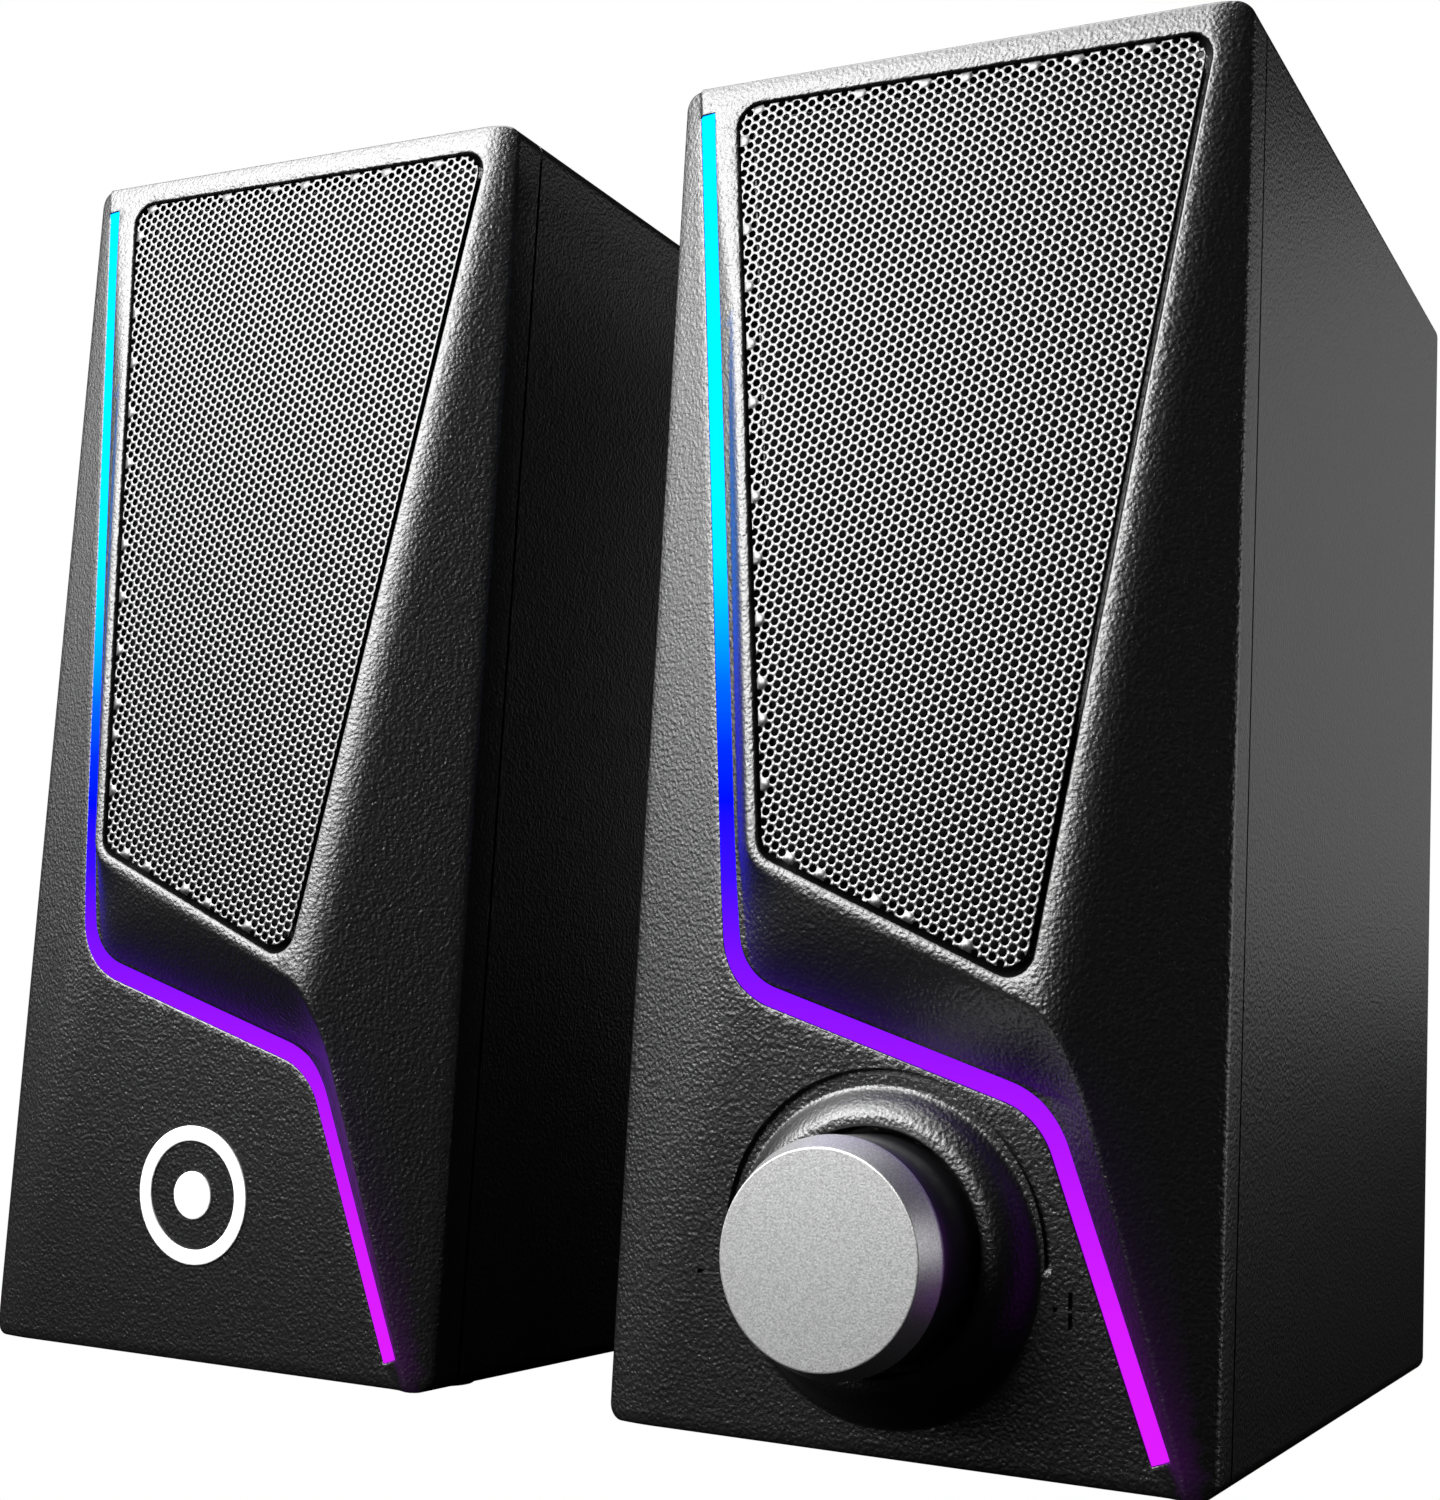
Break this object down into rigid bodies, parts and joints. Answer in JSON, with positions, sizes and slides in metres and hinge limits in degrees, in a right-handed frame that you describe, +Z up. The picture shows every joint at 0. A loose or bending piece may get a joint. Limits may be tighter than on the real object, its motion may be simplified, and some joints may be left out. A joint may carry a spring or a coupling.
{
  "type": "desktop speakers",
  "caption": "Pair of tall desktop speakers with faceted fronts, perforated grilles, a bent light strip, sprung driver cones, a turning volume knob and rear sockets.",
  "frame": {"origin": "centre of the footprint of the pair, on the surface the feet stand on", "axes": "+Z up; the fronts face -Y; +X to the right as seen from the front, towards the speaker with the knob"},
  "size_m": [0.211, 0.1655, 0.202],
  "materials": {
    "black_abs": "fine leather grain, matt",
    "foot_rubber": "matt",
    "grille_steel": "satin, perforated",
    "black_cloth": "thin black cloth",
    "light_strip": "milky light guide, lit from behind",
    "flex_board": "white flexible board",
    "dark_screws": "black zinc",
    "port_plastic": "smooth",
    "basket_paint": "black",
    "plain_steel": "zinc plated",
    "ferrite": "sintered ferrite",
    "copper_coil": "copper winding",
    "cone_paper": "coated paper",
    "surround_rubber": "soft",
    "spider_cloth": "resin-dipped cloth",
    "plate_plastic": "fine grain",
    "jack_plastic": "smooth",
    "button_plastic": "smooth",
    "nut_brass": "nickel plated",
    "shaft_aluminium": "turned",
    "knob_black": "smooth, matt",
    "knob_silver": "bead-blasted face, bright chamfer",
    "green_board": "solder mask",
    "can_sleeve": "shrink sleeve",
    "white_mark": "printed white"
  },
  "bodies": {
    "right_speaker": {"right_front_panel": "black_abs", "right_rear_shell": "black_abs", "right_posts": "black_abs", "right_feet": "foot_rubber", "right_grille": "grille_steel", "right_grille_cloth": "black_cloth", "right_light_guide": "light_strip", "right_led_board": "flex_board", "right_panel_screws": "dark_screws", "right_port_tube": "port_plastic", "right_driver_basket": "basket_paint", "right_driver_plates": "plain_steel", "right_driver_magnet": "ferrite", "right_surround": "surround_rubber", "right_spider": "spider_cloth", "right_driver_screws": "dark_screws", "right_jack_plate": "plate_plastic", "right_jack_plate_screws": "dark_screws", "aux_jack": "jack_plastic", "speaker_out_jack": "jack_plastic", "power_inlet": "plain_steel", "button_switch": "jack_plastic", "pot_body": "plain_steel", "pot_nut": "nut_brass", "amp_board": "green_board", "board_screws": "dark_screws", "amp_heatsink": "shaft_aluminium", "amp_chip": "jack_plastic", "amp_capacitors": "can_sleeve"},
    "left_speaker": {"left_front_panel": "black_abs", "left_rear_shell": "black_abs", "left_posts": "black_abs", "left_feet": "foot_rubber", "left_grille": "grille_steel", "left_grille_cloth": "black_cloth", "left_light_guide": "light_strip", "left_led_board": "flex_board", "left_panel_screws": "dark_screws", "left_port_tube": "port_plastic", "left_driver_basket": "basket_paint", "left_driver_plates": "plain_steel", "left_driver_magnet": "ferrite", "left_surround": "surround_rubber", "left_spider": "spider_cloth", "left_driver_screws": "dark_screws", "left_jack_plate": "plate_plastic", "left_jack_plate_screws": "dark_screws", "speaker_in_jack": "jack_plastic", "badge": "white_mark"},
    "right_cone_assembly": {"right_voice_coil": "copper_coil", "right_cone": "cone_paper", "right_dust_cap": "cone_paper"},
    "left_cone_assembly": {"left_voice_coil": "copper_coil", "left_cone": "cone_paper", "left_dust_cap": "cone_paper"},
    "volume_knob": {"pot_shaft": "shaft_aluminium", "knob_skirt": "knob_black", "knob_cap": "knob_silver"},
    "light_key": {"light_button": "button_plastic"}
  },
  "joints": [
    {"name": "left_speaker_place", "type": "slide", "parent": "right_speaker", "child": "left_speaker", "axis": [-1, 0, 0], "range_m": [0, 0.6]},
    {"name": "volume_turn", "type": "hinge", "parent": "right_speaker", "child": "volume_knob", "pos_m": [0.0593, -0.0737, 0.03], "axis": [0, -1, 0], "range_deg": [-150, 150]},
    {"name": "right_cone_travel", "type": "slide", "parent": "right_speaker", "child": "right_cone_assembly", "axis": [0, -0.9965, 0.0834], "range_m": [-0.001, 0.001], "stiffness_N_per_m": 800},
    {"name": "left_cone_travel", "type": "slide", "parent": "left_speaker", "child": "left_cone_assembly", "axis": [0, -0.9965, 0.0834], "range_m": [-0.001, 0.001], "stiffness_N_per_m": 800},
    {"name": "light_key_press", "type": "slide", "parent": "right_speaker", "child": "light_key", "axis": [0, -1, 0], "range_m": [0, 0.0008], "stiffness_N_per_m": 900}
  ]
}
